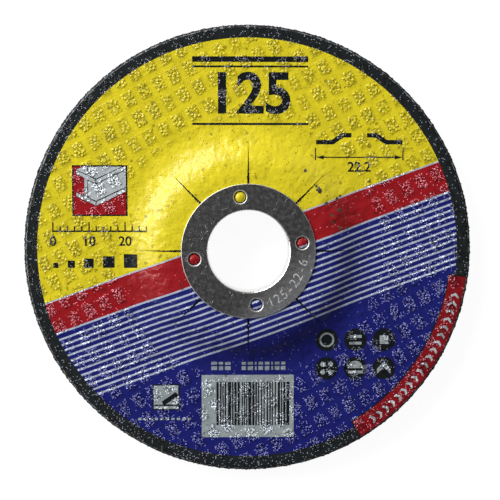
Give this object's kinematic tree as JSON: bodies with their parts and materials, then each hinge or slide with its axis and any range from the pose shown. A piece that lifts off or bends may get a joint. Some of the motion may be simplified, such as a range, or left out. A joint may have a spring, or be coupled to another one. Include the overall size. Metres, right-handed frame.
{
  "type": "depressed-centre grinding wheel",
  "caption": "Round resin-bonded grinding wheel with a raised hub, a steel-lined centre bore and a net-textured paper label pressed onto its back.",
  "frame": {"origin": "on the bore's axis, in the plane of the grinding face that the wheel lies on", "axes": "+Z along the bore, from the grinding face to the labelled back; the print reads upright along +Y, and its stripes rise towards +X"},
  "size_m": [0.125, 0.125, 0.0111],
  "materials": {
    "resin_bonded_grain": "coarse dark grain in resin, matt with sparkling grains",
    "printed_paper": "glossy printed paper, embossed by the grain under it",
    "pressed_steel": "dull pressed sheet steel with fine scratches"
  },
  "bodies": {
    "root": {"abrasive_body": "resin_bonded_grain", "paper_label": "printed_paper", "bore_ring": "pressed_steel"}
  },
  "joints": []
}
